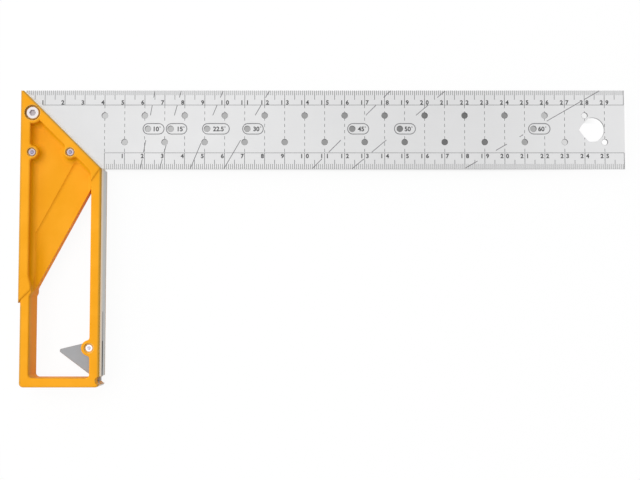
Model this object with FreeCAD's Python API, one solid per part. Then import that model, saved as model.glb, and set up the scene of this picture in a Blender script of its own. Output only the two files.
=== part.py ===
import FreeCAD, Part
import math
import os

# A try and mitre square lying flat, seen from its front face.
# Plan positions are given as x, to the right from the outer face of the stock,
# and d, downwards from the outer edge of the blade. Heights count from the middle of the blade.

# Blade
BLADE_LENGTH = 300.0
BLADE_WIDTH = 39.5
BLADE_THICKNESS = 1.2
BLADE_END_INSET = 0.4
HOLE_DIAMETER = 3.0
HOLE_CHAMFER = 0.1
HOLE_PITCH = 20.0
MARKING_ROW_COUNT = 13
UPPER_ROW_START = 40.0
UPPER_ROW_DEPTH = 12.6
LOWER_ROW_START = 50.0
LOWER_ROW_FROM_EDGE = 13.5
ANGLE_ROW_FROM_MIDDLE = 0.45
ANGLE_HOLE_PLACES = {10.0: 61.6, 15.0: 73.0, 22.5: 91.2, 30.0: 111.3, 45.0: 163.8, 50.0: 187.6, 60.0: 254.4}

# Hole for hanging the square on a nail: round at the right, pointed at the left
HANG_FROM_END = 16.2
HANG_RADIUS = 6.1
HANG_POINT_REACH = 6.6
HANG_FLANK_ANGLE = 105.0
HANG_FLANK_BULGE = 0.35
HANG_POINT_RADIUS = 0.8

# Stock: a cast head that holds the blade, and a lighter frame below it
FENCE_BEYOND_BLADE = 0.5
STOCK_LENGTH = 147.4
HEAD_THICKNESS = 17.6
FRAME_THICKNESS = 16.4
FRAME_INSET = 0.9
TIP_CUT = 1.4
HEAD_STEP_DROP = 3.3
FENCE_STEP_INSET = 0.1
FENCE_STEP_LEAN = 34.7
HEAD_LAP = 1.0
CAST_EDGE_RADIUS = 0.9
RIM_EDGE_RADIUS = 0.7
FRAME_CORNER_RADIUS = 2.0
FOOT_RADIUS = 2.0

# Walls of the stock
OUTER_RIM = 5.0
MITRE_RIM = 4.9
FRAME_LEFT_WALL = 4.6
FENCE_WALL = 4.95
BOTTOM_WALL = 4.45
WINDOW_LOW_D = 102.9
WINDOW_APEX_DROP = 5.8
WINDOW_CORNER_RADIUS = 1.9
WINDOW_APEX_RADIUS = 0.7
WEB_THICKNESS = 6.8
POCKET_CORNER_RADIUS = 3.2
POCKET_FENCE_CORNER_RADIUS = 7.0
POCKET_FLOOR_RADIUS = 3.0
POCKET_NARROWING = 1.2
POCKET_NARROW_START = 10.0
POCKET_NARROW_END = 5.0
POCKET_EDGE_RADIUS = 0.9
PANEL_DEPTH = 0.7
PANEL_WIDTH = 14.0
PANEL_MARGIN = 1.5
PANEL_CORNER_RADIUS = 2.7
PANEL_FLOOR_RADIUS = 2.0

# Gaps on each side of the blade, below the blade past the corner of the fence, and around fasteners
BLADE_SLOT_CLEARANCE = 0.05
BLADE_SLOT_RELIEF = 0.15
FASTENER_CLEARANCE = 0.05

# Clamp screw and its sleeve nut, at the tip of the stock
CLAMP_X = 5.8
CLAMP_D = 12.5
CLAMP_BOSS_RADIUS = 5.3
CLAMP_HEAD_DIAMETER = 6.4
CLAMP_RECESS_DIAMETER = 7.8
CLAMP_RECESS_DEPTH = 2.6
CLAMP_HEAD_HEIGHT = 2.2
CLAMP_HEAD_EDGE = 0.35
CLAMP_THREAD_DIAMETER = 3.5
CLAMP_SLEEVE_DIAMETER = 5.0
CLAMP_SOCKET_FLATS = 2.9
CLAMP_SOCKET_DEPTH = 1.5
CLAMP_NUT_FLOOR = 3.4
CLAMP_BORE_SPARE = 0.35

# Two rivets that hold the blade, and the rivet that carries the ledge
RIVET_OUTER_X = 5.75
RIVET_FROM_MITRE = 7.5
RIVET_FROM_INNER_EDGE = 7.4
RIVET_BOSS_RADIUS = 3.3
RIVET_SHANK_DIAMETER = 2.6
RIVET_HEAD_DIAMETER = 3.7
RIVET_HEAD_HEIGHT = 1.1
RIVET_DIMPLE_DIAMETER = 1.9
RIVET_DIMPLE_DEPTH = 0.45
RIVET_RECESS_DIAMETER = 4.7
RIVET_RECESS_DEPTH = 1.4
PIVOT_FROM_FENCE = 5.1
PIVOT_FROM_FOOT = 19.1
PIVOT_BOSS_RADIUS = 3.9
PIVOT_RECESS_DIAMETER = 5.0
BOSS_BLEND_RADIUS = 1.6

# Ledge that folds out of the fence, and the slot it folds into
LEDGE_THICKNESS = 1.5
LEDGE_HUB_RADIUS = 3.0
LEDGE_LEVER_REACH = 14.8
LEDGE_LEVER_DROP = 1.5
LEDGE_TIP_RADIUS = 1.0
LEDGE_NOSE_INSET = 1.1
LEDGE_ARM_REACH = 15.8
LEDGE_NOSE_RADIUS = 0.8
LEDGE_RELIEF = 1.6
LEDGE_RELIEF_LENGTH = 10.0
LEDGE_RELIEF_RAMP = 1.2
LEDGE_EDGE_CHAMFER = 0.15
LEDGE_SLOT_CLEARANCE = 0.35
WASHER_THICKNESS = 0.3
WASHER_FREE_HEIGHT = 0.44
WASHER_DIAMETER = 5.4
NOTCH_RADIUS = 2.0
NOTCH_BELOW_NOSE = 0.1

# Small overrun of cutting tools past the surface that they cut, and what counts as touching
OVERRUN = 1.0
TOUCH = 1e-3

# Sizes that follow from the ones above
HEAD_HALF = HEAD_THICKNESS / 2
FRAME_HALF = FRAME_THICKNESS / 2
WEB_HALF = WEB_THICKNESS / 2
BLADE_SLOT_HALF = BLADE_THICKNESS / 2 + BLADE_SLOT_CLEARANCE
LEDGE_SLOT_HALF = LEDGE_THICKNESS / 2 + WASHER_FREE_HEIGHT
STOCK_WIDTH = BLADE_WIDTH + FENCE_BEYOND_BLADE
FRAME_LEFT_INNER = FRAME_INSET + FRAME_LEFT_WALL
FENCE_INNER = STOCK_WIDTH - FENCE_WALL
BOTTOM_INNER = STOCK_LENGTH - BOTTOM_WALL
HEAD_STEP_DEPTH = WINDOW_LOW_D + HEAD_STEP_DROP
FENCE_STEP_X = STOCK_WIDTH - FENCE_STEP_INSET
MITRE_SHIFT = MITRE_RIM * math.sqrt(2)
WINDOW_APEX_D = FENCE_INNER + MITRE_SHIFT + WINDOW_APEX_DROP
WINDOW_SLOPE = (WINDOW_LOW_D - WINDOW_APEX_D) / (FENCE_INNER - FRAME_LEFT_INNER)
POCKET_END_D = WINDOW_LOW_D + POCKET_FLOOR_RADIUS
PANEL_FACE = WEB_HALF - PANEL_DEPTH
LOWER_ROW_DEPTH = BLADE_WIDTH - LOWER_ROW_FROM_EDGE
ANGLE_ROW_DEPTH = BLADE_WIDTH / 2 - ANGLE_ROW_FROM_MIDDLE
RIVET_D = BLADE_WIDTH - RIVET_FROM_INNER_EDGE
RIVET_INNER_X = RIVET_D - RIVET_FROM_MITRE
PIVOT_X = STOCK_WIDTH - PIVOT_FROM_FENCE
PIVOT_D = STOCK_LENGTH - PIVOT_FROM_FOOT
LEDGE_NOSE_D = PIVOT_D + LEDGE_ARM_REACH

# The finished square stands on the middle of its outline
ROW_SHIFT = FreeCAD.Vector(-BLADE_LENGTH / 2, STOCK_LENGTH / 2, HEAD_HALF)
UP = FreeCAD.Vector(0, 0, 1)


def at(x, d, z=0.0):
    """Point at x across and d down from the outer edge of the blade."""
    return FreeCAD.Vector(x, -d, z)


def window_edge_d(x):
    """Depth of the slanted edge of the window at x."""
    return WINDOW_LOW_D - WINDOW_SLOPE * (x - FRAME_LEFT_INNER)


def rounded_face(corners):
    """Flat face from corners given as (x, d, radius), with each corner rounded by its radius."""
    count = len(corners)
    edges = []
    starts = []
    ends = []
    arcs = []
    for index, (x, d, radius) in enumerate(corners):
        before = corners[index - 1]
        after = corners[(index + 1) % count]
        corner = at(x, d)
        to_before = (at(before[0], before[1]) - corner).normalize()
        to_after = (at(after[0], after[1]) - corner).normalize()
        if radius <= 0:
            starts.append(corner)
            ends.append(corner)
            arcs.append(None)
            continue
        half = to_before.getAngle(to_after) / 2
        reach = radius / math.tan(half)
        centre = corner + (to_before + to_after).normalize() * (radius / math.sin(half))
        middle = centre + (corner - centre).normalize() * radius
        starts.append(corner + to_before * reach)
        ends.append(corner + to_after * reach)
        arcs.append(middle)
    for index in range(count):
        if arcs[index] is not None:
            edges.append(Part.Arc(starts[index], arcs[index], ends[index]).toShape())
        edges.append(Part.LineSegment(ends[index], starts[(index + 1) % count]).toShape())
    return Part.Face(Part.Wire(edges))


def slab(corners, low, high):
    """Upright solid on a rounded outline, from height low to height high."""
    face = rounded_face(corners)
    face.translate(UP * low)
    return face.extrude(UP * (high - low))


def flat_edges(shape, height):
    """Edges of a shape that lie in the level plane at a height."""
    found = []
    for edge in shape.Edges:
        box = edge.BoundBox
        if abs(box.ZMin - height) < 1e-6 and abs(box.ZMax - height) < 1e-6:
            found.append(edge)
    return found


def drum(x, d, radius, low, high):
    """Upright cylinder."""
    return Part.makeCylinder(radius, high - low, at(x, d, low), UP)


def ring(x, d, outer, inner, low, high):
    """Upright tube."""
    return drum(x, d, outer, low, high).cut(drum(x, d, inner, low - OVERRUN, high + OVERRUN))


def both_faces(solid):
    """A solid on the front face and its mirror image on the back face."""
    return [solid, solid.mirror(FreeCAD.Vector(0, 0, 0), UP)]


def edges_in(edges, solid):
    """The edges whose middle lies in a solid or on its surface."""
    found = []
    for edge in edges:
        start, end = edge.ParameterRange
        middle = Part.Vertex(edge.valueAt((start + end) / 2))
        if middle.distToShape(solid)[0] < TOUCH:
            found.append(edge)
    return found


def around_boss(cutter, x, d, radius, seam):
    """A cutter that leaves a round boss standing, blended into the wall beside it.

    The seam is the angle at which the surface of the boss starts, inside the wall.
    """
    boss = drum(x, d, radius, -HEAD_HALF - OVERRUN, HEAD_HALF + OVERRUN)
    boss.rotate(at(x, d), UP, seam)
    cutter = cutter.cut(boss)
    joints = []
    for edge in cutter.Edges:
        place = edge.CenterOfMass
        upright = len(edge.Vertexes) == 2 and edge.BoundBox.DiagonalLength - edge.BoundBox.ZLength < TOUCH
        off_boss = abs(math.hypot(place.x - x, place.y + d) - radius)
        if upright and off_boss < TOUCH:
            joints.append(edge)
    return cutter.makeFillet(BOSS_BLEND_RADIUS, joints)


def frame_block(window):
    """The lighter lower part of the casting, with its window cut and the window's edges rounded."""
    corners = [
        (FRAME_INSET, STOCK_WIDTH / 2, 0),
        (STOCK_WIDTH / 2, STOCK_WIDTH / 2, 0),
        (STOCK_WIDTH, STOCK_WIDTH, 0),
        (STOCK_WIDTH, STOCK_LENGTH, FOOT_RADIUS),
        (FRAME_INSET, STOCK_LENGTH, FRAME_CORNER_RADIUS),
    ]
    block = slab(corners, -FRAME_HALF, FRAME_HALF)
    rims = flat_edges(block, FRAME_HALF) + flat_edges(block, -FRAME_HALF)
    block = block.makeFillet(CAST_EDGE_RADIUS, rims).cut(window)
    rims = flat_edges(block, FRAME_HALF) + flat_edges(block, -FRAME_HALF)
    return block.makeFillet(RIM_EDGE_RADIUS, edges_in(rims, window))


def head_block():
    """The thicker triangular head, with its shoulder over the left bar and over the fence."""
    lean = math.tan(math.radians(FENCE_STEP_LEAN))
    low_x = FENCE_INNER - HEAD_LAP
    low_d = FENCE_STEP_X + (FENCE_STEP_X - low_x) / lean
    left_x = FRAME_LEFT_INNER + HEAD_LAP
    corners = [
        (0, TIP_CUT, 0),
        (TIP_CUT, TIP_CUT, 0),
        (FENCE_STEP_X, FENCE_STEP_X, 0),
        (low_x, low_d, 0),
        (left_x, HEAD_STEP_DEPTH - left_x, 0),
        (0, HEAD_STEP_DEPTH, 0),
    ]
    block = slab(corners, -HEAD_HALF, HEAD_HALF)
    rims = flat_edges(block, HEAD_HALF) + flat_edges(block, -HEAD_HALF)
    return block.makeFillet(CAST_EDGE_RADIUS, rims)


def window_tool():
    """Cutter for the open window between the head and the bars."""
    corners = [
        (FENCE_INNER, WINDOW_APEX_D, WINDOW_APEX_RADIUS),
        (FENCE_INNER, BOTTOM_INNER, WINDOW_CORNER_RADIUS),
        (FRAME_LEFT_INNER, BOTTOM_INNER, WINDOW_CORNER_RADIUS),
        (FRAME_LEFT_INNER, WINDOW_LOW_D, WINDOW_CORNER_RADIUS),
    ]
    tool = slab(corners, -HEAD_HALF - OVERRUN, HEAD_HALF + OVERRUN)
    return around_boss(tool, PIVOT_X, PIVOT_D, PIVOT_BOSS_RADIUS, 0)


def pocket_blank():
    """Upright cutter for the front pocket of the head, up to the bosses, and open to the window."""
    corners = [
        (OUTER_RIM, CLAMP_D, 0),
        (CLAMP_D - MITRE_SHIFT, CLAMP_D, 0),
        (FENCE_INNER, FENCE_INNER + MITRE_SHIFT, POCKET_FENCE_CORNER_RADIUS),
        (FENCE_INNER, POCKET_END_D, 0),
        (OUTER_RIM + POCKET_NARROWING, POCKET_END_D, 0),
        (OUTER_RIM + POCKET_NARROWING, WINDOW_LOW_D - POCKET_NARROW_END, POCKET_CORNER_RADIUS),
        (OUTER_RIM, WINDOW_LOW_D - POCKET_NARROW_START, POCKET_CORNER_RADIUS),
    ]
    tool = slab(corners, WEB_HALF, HEAD_HALF + OVERRUN)
    tool = tool.cut(drum(CLAMP_X, CLAMP_D, CLAMP_BOSS_RADIUS, 0, HEAD_HALF + 2 * OVERRUN))
    tool = around_boss(tool, RIVET_OUTER_X, RIVET_D, RIVET_BOSS_RADIUS, 180)
    return around_boss(tool, RIVET_INNER_X, RIVET_D, RIVET_BOSS_RADIUS, 0)


def rim_softener(blank):
    """Cutter that rounds the edge between the face of the head and its pocket."""
    depth = 2 * POCKET_EDGE_RADIUS
    low = HEAD_HALF - depth
    plate = Part.makeBox(STOCK_WIDTH, STOCK_LENGTH, depth, at(0, STOCK_LENGTH, low))
    opening = blank.common(plate)
    plate = plate.cut(opening)
    rounded = plate.makeFillet(POCKET_EDGE_RADIUS, edges_in(flat_edges(plate, HEAD_HALF), opening))
    return plate.cut(rounded)


def panel_tool():
    """Cutter for the shallow sunk panel along the slanted edge of the window, left blank."""
    across = PANEL_WIDTH * math.sqrt(1 + WINDOW_SLOPE ** 2)
    left_x = OUTER_RIM + PANEL_MARGIN
    right_x = FENCE_INNER - PANEL_MARGIN / 2
    top_shift = MITRE_SHIFT + PANEL_MARGIN
    line_d = window_edge_d(0) - across
    top_x = (line_d - top_shift) / (1 + WINDOW_SLOPE)
    corners = [
        (top_x, top_x + top_shift, PANEL_CORNER_RADIUS),
        (right_x, right_x + top_shift, PANEL_CORNER_RADIUS),
        (right_x, window_edge_d(right_x) + PANEL_WIDTH, 0),
        (left_x, window_edge_d(left_x) + PANEL_WIDTH, 0),
        (left_x, line_d - WINDOW_SLOPE * left_x, PANEL_CORNER_RADIUS),
    ]
    tool = slab(corners, PANEL_FACE, HEAD_HALF)
    return tool.makeFillet(PANEL_FLOOR_RADIUS, flat_edges(tool, PANEL_FACE))


def blade_slot_tool():
    """Cutter for the saw slot that holds the blade, open at the mitre face and the outer face."""
    width = STOCK_WIDTH + 2 * OVERRUN
    floor_d = STOCK_WIDTH + BLADE_SLOT_RELIEF
    corner = at(-OVERRUN, floor_d, -BLADE_SLOT_HALF)
    return Part.makeBox(width, floor_d + OVERRUN, 2 * BLADE_SLOT_HALF, corner)


def fastener_tools():
    """Cutters for the fastener holes and for the recesses of their heads."""
    reach = HEAD_HALF + OVERRUN
    shank = RIVET_SHANK_DIAMETER / 2 + FASTENER_CLEARANCE
    tools = []
    for x in (RIVET_OUTER_X, RIVET_INNER_X):
        tools.append(drum(x, RIVET_D, shank, -reach, reach))
        floor = HEAD_HALF - RIVET_RECESS_DEPTH
        tools.extend(both_faces(drum(x, RIVET_D, RIVET_RECESS_DIAMETER / 2, floor, reach)))
    tools.append(drum(PIVOT_X, PIVOT_D, shank, -reach, reach))
    floor = FRAME_HALF - RIVET_RECESS_DEPTH
    tools.extend(both_faces(drum(PIVOT_X, PIVOT_D, PIVOT_RECESS_DIAMETER / 2, floor, reach)))
    tools.append(drum(CLAMP_X, CLAMP_D, CLAMP_SLEEVE_DIAMETER / 2 + FASTENER_CLEARANCE, -reach, reach))
    floor = HEAD_HALF - CLAMP_RECESS_DEPTH
    tools.extend(both_faces(drum(CLAMP_X, CLAMP_D, CLAMP_RECESS_DIAMETER / 2, floor, reach)))
    return tools


def ledge_lines():
    """Tangent points of the ledge outline on its hub, tip and nose."""
    hub = at(PIVOT_X, PIVOT_D)
    tip = at(PIVOT_X - LEDGE_LEVER_REACH, PIVOT_D + LEDGE_LEVER_DROP)
    nose = at(STOCK_WIDTH - LEDGE_NOSE_INSET, LEDGE_NOSE_D)
    upper = outer_tangent(tip, LEDGE_TIP_RADIUS, hub, LEDGE_HUB_RADIUS, 1)
    lower = outer_tangent(tip, LEDGE_TIP_RADIUS, nose, LEDGE_NOSE_RADIUS, -1)
    return hub, tip, nose, upper, lower


def outer_tangent(first, first_radius, second, second_radius, side):
    """Ends of the line that touches two circles on the same side."""
    span = second - first
    lean = math.asin((second_radius - first_radius) / span.Length)
    heading = math.atan2(span.y, span.x) + side * (math.pi / 2 + lean)
    away = FreeCAD.Vector(math.cos(heading), math.sin(heading), 0)
    return first + away * first_radius, second + away * second_radius


def ledge_slot_tool():
    """Cutter for the slot in the fence bar that the ledge folds into."""
    lower = ledge_lines()[4]
    start, end = lower
    slope = (end.y - start.y) / (end.x - start.x)
    drop = LEDGE_SLOT_CLEARANCE * math.sqrt(1 + slope ** 2)
    left_x = PIVOT_X - PIVOT_BOSS_RADIUS - LEDGE_SLOT_CLEARANCE
    floor_d = LEDGE_NOSE_D + LEDGE_NOSE_RADIUS + LEDGE_SLOT_CLEARANCE
    left_d = drop - (start.y + slope * (left_x - start.x))
    turn_x = start.x + (drop - floor_d - start.y) / slope
    top_d = PIVOT_D - LEDGE_HUB_RADIUS - LEDGE_SLOT_CLEARANCE
    corners = [
        (left_x, top_d, 0),
        (STOCK_WIDTH + OVERRUN, top_d, 0),
        (STOCK_WIDTH + OVERRUN, floor_d, 0),
        (turn_x, floor_d, 0),
        (left_x, left_d, 0),
    ]
    return slab(corners, -LEDGE_SLOT_HALF, LEDGE_SLOT_HALF)


def notch_tool():
    """Cutter for the finger nail notch where the nose of the ledge is picked up."""
    reach = HEAD_HALF + OVERRUN
    return drum(STOCK_WIDTH, LEDGE_NOSE_D + NOTCH_BELOW_NOSE, NOTCH_RADIUS, -reach, reach)


def make_stock():
    """Cast stock with its milled fence and mitre face."""
    window = window_tool()
    blank = pocket_blank()
    pocket = blank.makeFillet(POCKET_FLOOR_RADIUS, flat_edges(blank, WEB_HALF))
    body = frame_block(window).fuse(head_block().cut(window))
    body = body.cut(both_faces(pocket)).cut(both_faces(rim_softener(blank)))
    body = body.cut(both_faces(panel_tool())).removeSplitter()
    tools = [blade_slot_tool(), ledge_slot_tool(), notch_tool()] + fastener_tools()
    return body.cut(tools).removeSplitter()


def chamfered_hole(x, d, radius):
    """Cutter for a round hole through the blade with a small chamfer at both faces."""
    half = BLADE_THICKNESS / 2
    wide = radius + HOLE_CHAMFER
    cutter = drum(x, d, radius, -half - OVERRUN, half + OVERRUN)
    cone = Part.makeCone(radius, wide, HOLE_CHAMFER, at(x, d, half - HOLE_CHAMFER), UP)
    return cutter.fuse(both_faces(cone))


def marking_holes():
    """Cutters for the two rows of pencil holes and for the pivot holes of the angles."""
    cutters = []
    for number in range(MARKING_ROW_COUNT):
        x = UPPER_ROW_START + number * HOLE_PITCH
        cutters.append(chamfered_hole(x, UPPER_ROW_DEPTH, HOLE_DIAMETER / 2))
        x = LOWER_ROW_START + number * HOLE_PITCH
        cutters.append(chamfered_hole(x, LOWER_ROW_DEPTH, HOLE_DIAMETER / 2))
    for x in ANGLE_HOLE_PLACES.values():
        cutters.append(chamfered_hole(x, ANGLE_ROW_DEPTH, HOLE_DIAMETER / 2))
    return cutters


def hang_hole_tool():
    """Cutter for the hanging hole."""
    x = BLADE_LENGTH - HANG_FROM_END
    centre = at(x, BLADE_WIDTH / 2, -BLADE_THICKNESS)
    turn = math.radians(HANG_FLANK_ANGLE)
    top = centre + FreeCAD.Vector(math.cos(turn), math.sin(turn), 0) * HANG_RADIUS
    bottom = centre + FreeCAD.Vector(math.cos(turn), -math.sin(turn), 0) * HANG_RADIUS
    right = centre + FreeCAD.Vector(HANG_RADIUS, 0, 0)
    point = centre - FreeCAD.Vector(HANG_POINT_REACH, 0, 0)
    edges = [Part.Arc(top, right, bottom).toShape()]
    for first, second in ((bottom, point), (point, top)):
        middle = (first + second) * 0.5
        outward = (middle - centre).normalize() * HANG_FLANK_BULGE
        edges.append(Part.Arc(first, middle + outward, second).toShape())
    solid = Part.Face(Part.Wire(edges)).extrude(UP * (2 * BLADE_THICKNESS))
    upright = []
    for edge in solid.Edges:
        if edge.BoundBox.XMax < point.x + 1e-6:
            upright.append(edge)
    return solid.makeFillet(HANG_POINT_RADIUS, upright)


def make_blade():
    """Flat blade with its scale holes, fixing holes and hanging hole."""
    half = BLADE_THICKNESS / 2
    length = BLADE_LENGTH - BLADE_END_INSET
    blade = Part.makeBox(length, BLADE_WIDTH, BLADE_THICKNESS, at(BLADE_END_INSET, BLADE_WIDTH, -half))
    cutters = marking_holes() + [hang_hole_tool()]
    shank = RIVET_SHANK_DIAMETER / 2 + FASTENER_CLEARANCE
    for x in (RIVET_OUTER_X, RIVET_INNER_X):
        cutters.append(drum(x, RIVET_D, shank, -half - OVERRUN, half + OVERRUN))
    sleeve = CLAMP_SLEEVE_DIAMETER / 2 + FASTENER_CLEARANCE
    cutters.append(drum(CLAMP_X, CLAMP_D, sleeve, -half - OVERRUN, half + OVERRUN))
    return blade.cut(cutters)


def rivet(x, d, face):
    """Rivet with two heads, each dimpled by the riveting tool, for a part whose faces are at +-face."""
    seat = face - RIVET_RECESS_DEPTH
    top = seat + RIVET_HEAD_HEIGHT
    head = drum(x, d, RIVET_HEAD_DIAMETER / 2, seat, top)
    head = head.makeFillet(RIVET_HEAD_HEIGHT / 3, flat_edges(head, top))
    low_radius = RIVET_DIMPLE_DIAMETER / 2 - RIVET_DIMPLE_DEPTH
    dimple = Part.makeCone(low_radius, RIVET_DIMPLE_DIAMETER / 2, RIVET_DIMPLE_DEPTH,
                           at(x, d, top - RIVET_DIMPLE_DEPTH), UP)
    head = head.cut(dimple)
    shank = drum(x, d, RIVET_SHANK_DIAMETER / 2, -seat, seat)
    return shank.fuse(both_faces(head)).removeSplitter()


def make_blade_rivets():
    """The two rivets that hold the blade in its slot."""
    return Part.makeCompound([rivet(x, RIVET_D, HEAD_HALF) for x in (RIVET_OUTER_X, RIVET_INNER_X)])


def make_pivot_rivet():
    """The rivet that the ledge turns on."""
    return rivet(PIVOT_X, PIVOT_D, FRAME_HALF)


def clamp_head(seat, top):
    """Round head of the clamp screw or of its nut, with a hexagon socket."""
    head = drum(CLAMP_X, CLAMP_D, CLAMP_HEAD_DIAMETER / 2, seat, top)
    head = head.makeChamfer(CLAMP_HEAD_EDGE, flat_edges(head, top))
    corner = CLAMP_SOCKET_FLATS / math.sqrt(3)
    points = []
    for side in range(6):
        turn = math.radians(60 * side)
        points.append((CLAMP_X + corner * math.cos(turn), CLAMP_D - corner * math.sin(turn), 0))
    return head.cut(slab(points, top - CLAMP_SOCKET_DEPTH, top + OVERRUN))


def make_clamp_screw():
    """Screw that pinches the tip of the stock onto the blade, driven from the front."""
    seat = HEAD_HALF - CLAMP_RECESS_DEPTH
    shank = drum(CLAMP_X, CLAMP_D, CLAMP_THREAD_DIAMETER / 2, CLAMP_NUT_FLOOR - seat, seat)
    return shank.fuse(clamp_head(seat, seat + CLAMP_HEAD_HEIGHT)).removeSplitter()


def make_clamp_nut():
    """Sleeve nut for the clamp screw, held in the back of the stock."""
    seat = HEAD_HALF - CLAMP_RECESS_DEPTH
    head = clamp_head(seat, seat + CLAMP_HEAD_HEIGHT).mirror(FreeCAD.Vector(0, 0, 0), UP)
    sleeve_top = seat - 2 * FASTENER_CLEARANCE
    sleeve = drum(CLAMP_X, CLAMP_D, CLAMP_SLEEVE_DIAMETER / 2, -seat, sleeve_top)
    bore_end = CLAMP_NUT_FLOOR - CLAMP_BORE_SPARE - seat
    bore = drum(CLAMP_X, CLAMP_D, CLAMP_THREAD_DIAMETER / 2 + FASTENER_CLEARANCE, bore_end, HEAD_HALF)
    return head.fuse(sleeve).cut(bore).removeSplitter()


def make_ledge():
    """Support ledge: thumb lever at the left, ledge arm folded into the fence below its pivot."""
    hub, tip, nose, upper, lower = ledge_lines()
    half = LEDGE_THICKNESS / 2
    tip_left = tip - FreeCAD.Vector(LEDGE_TIP_RADIUS, 0, 0)
    hub_right = hub + FreeCAD.Vector(LEDGE_HUB_RADIUS, 0, 0)
    turn = math.radians(45)
    hub_top = hub + FreeCAD.Vector(math.cos(turn), math.sin(turn), 0) * LEDGE_HUB_RADIUS
    nose_right = nose + FreeCAD.Vector(LEDGE_NOSE_RADIUS, 0, 0)
    nose_low = nose + FreeCAD.Vector(math.cos(turn), -math.sin(turn), 0) * LEDGE_NOSE_RADIUS
    relief_end = PIVOT_D + LEDGE_RELIEF_LENGTH
    ramp_end = at(nose_right.x, relief_end + LEDGE_RELIEF_RAMP)
    ramp_start = at(nose_right.x - LEDGE_RELIEF, relief_end)
    edges = [
        Part.Arc(lower[0], tip_left, upper[0]).toShape(),
        Part.LineSegment(upper[0], upper[1]).toShape(),
        Part.Arc(upper[1], hub_top, hub_right).toShape(),
        Part.LineSegment(hub_right, ramp_start).toShape(),
        Part.LineSegment(ramp_start, ramp_end).toShape(),
        Part.LineSegment(ramp_end, nose_right).toShape(),
        Part.Arc(nose_right, nose_low, lower[1]).toShape(),
        Part.LineSegment(lower[1], lower[0]).toShape(),
    ]
    face = Part.Face(Part.Wire(edges))
    face.translate(UP * -half)
    plate = face.extrude(UP * LEDGE_THICKNESS)
    rims = flat_edges(plate, half) + flat_edges(plate, -half)
    plate = plate.makeChamfer(LEDGE_EDGE_CHAMFER, rims)
    bore = RIVET_SHANK_DIAMETER / 2 + FASTENER_CLEARANCE
    return plate.cut(drum(PIVOT_X, PIVOT_D, bore, -half - OVERRUN, half + OVERRUN))


def curved_washer():
    """Curved spring washer on the ledge: its middle touches the ledge and its sides touch the slot."""
    radius = WASHER_DIAMETER / 2
    rise = WASHER_FREE_HEIGHT - WASHER_THICKNESS
    low = LEDGE_THICKNESS / 2
    outer_bend = (radius ** 2 + rise ** 2) / (2 * rise)
    start = at(PIVOT_X - radius - OVERRUN, PIVOT_D, low + outer_bend)
    span = 2 * (radius + OVERRUN)
    along = FreeCAD.Vector(1, 0, 0)
    bend = Part.makeCylinder(outer_bend, span, start, along)
    hollow = Part.makeCylinder(outer_bend - WASHER_THICKNESS, span, start, along)
    inner = RIVET_SHANK_DIAMETER / 2 + FASTENER_CLEARANCE
    blank = ring(PIVOT_X, PIVOT_D, radius, inner, low, low + WASHER_FREE_HEIGHT)
    return bend.cut(hollow).common(blank)


def make_washers():
    """The two spring washers that keep the ledge where it is put."""
    return Part.makeCompound(both_faces(curved_washer()))


NODES = {
    "stock": make_stock,
    "blade": make_blade,
    "blade_rivets": make_blade_rivets,
    "clamp_screw": make_clamp_screw,
    "clamp_nut": make_clamp_nut,
    "ledge": make_ledge,
    "ledge_pivot_rivet": make_pivot_rivet,
    "ledge_spring_washers": make_washers,
}


def main():
    os.makedirs("parts", exist_ok=True)
    for name, make in NODES.items():
        shape = make()
        shape.translate(ROW_SHIFT)
        shape.exportStep("parts/" + name + ".step")
        print(name, "solids", len(shape.Solids), "valid", shape.isValid(), "volume", round(shape.Volume, 2))


main()
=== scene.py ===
import math

import bmesh
import bpy
from bpy.props import FloatProperty, FloatVectorProperty, PointerProperty
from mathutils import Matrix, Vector


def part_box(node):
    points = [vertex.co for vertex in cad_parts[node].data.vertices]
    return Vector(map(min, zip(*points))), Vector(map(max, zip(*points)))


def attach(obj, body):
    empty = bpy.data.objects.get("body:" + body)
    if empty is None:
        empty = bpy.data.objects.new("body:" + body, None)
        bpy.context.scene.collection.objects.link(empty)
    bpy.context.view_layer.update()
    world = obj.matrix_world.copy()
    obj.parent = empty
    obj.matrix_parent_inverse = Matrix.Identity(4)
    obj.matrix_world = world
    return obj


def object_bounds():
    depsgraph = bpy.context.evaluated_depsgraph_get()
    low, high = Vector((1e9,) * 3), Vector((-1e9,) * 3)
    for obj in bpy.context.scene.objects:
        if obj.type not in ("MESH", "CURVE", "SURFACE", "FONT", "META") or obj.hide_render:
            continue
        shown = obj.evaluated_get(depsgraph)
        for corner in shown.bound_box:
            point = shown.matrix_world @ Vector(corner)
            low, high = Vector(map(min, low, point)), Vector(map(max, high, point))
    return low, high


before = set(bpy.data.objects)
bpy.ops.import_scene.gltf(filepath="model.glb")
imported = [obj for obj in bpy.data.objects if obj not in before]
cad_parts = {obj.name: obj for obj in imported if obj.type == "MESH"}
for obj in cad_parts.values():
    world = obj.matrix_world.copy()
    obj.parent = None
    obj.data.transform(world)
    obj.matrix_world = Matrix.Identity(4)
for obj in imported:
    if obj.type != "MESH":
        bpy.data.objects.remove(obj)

bl_info = {
    "name": "Try and mitre square",
    "version": (1, 0, 0),
    "blender": (4, 5, 0),
    "location": "3D View > Sidebar > Square",
    "description": "Paints the stock, etches the blade and lights a joiner's try and mitre square",
    "category": "Object",
}

MM = 0.001
WHITE = (1.0, 1.0, 1.0, 1.0)
CAD_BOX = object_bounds()
STOCK_LOW, STOCK_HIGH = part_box("stock")
BLADE_LOW, BLADE_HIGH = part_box("blade")
STOCK_MIDDLE_Z = (STOCK_LOW[2] + STOCK_HIGH[2]) / 2
BLADE_MIDDLE_Y = (BLADE_LOW[1] + BLADE_HIGH[1]) / 2

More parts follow.
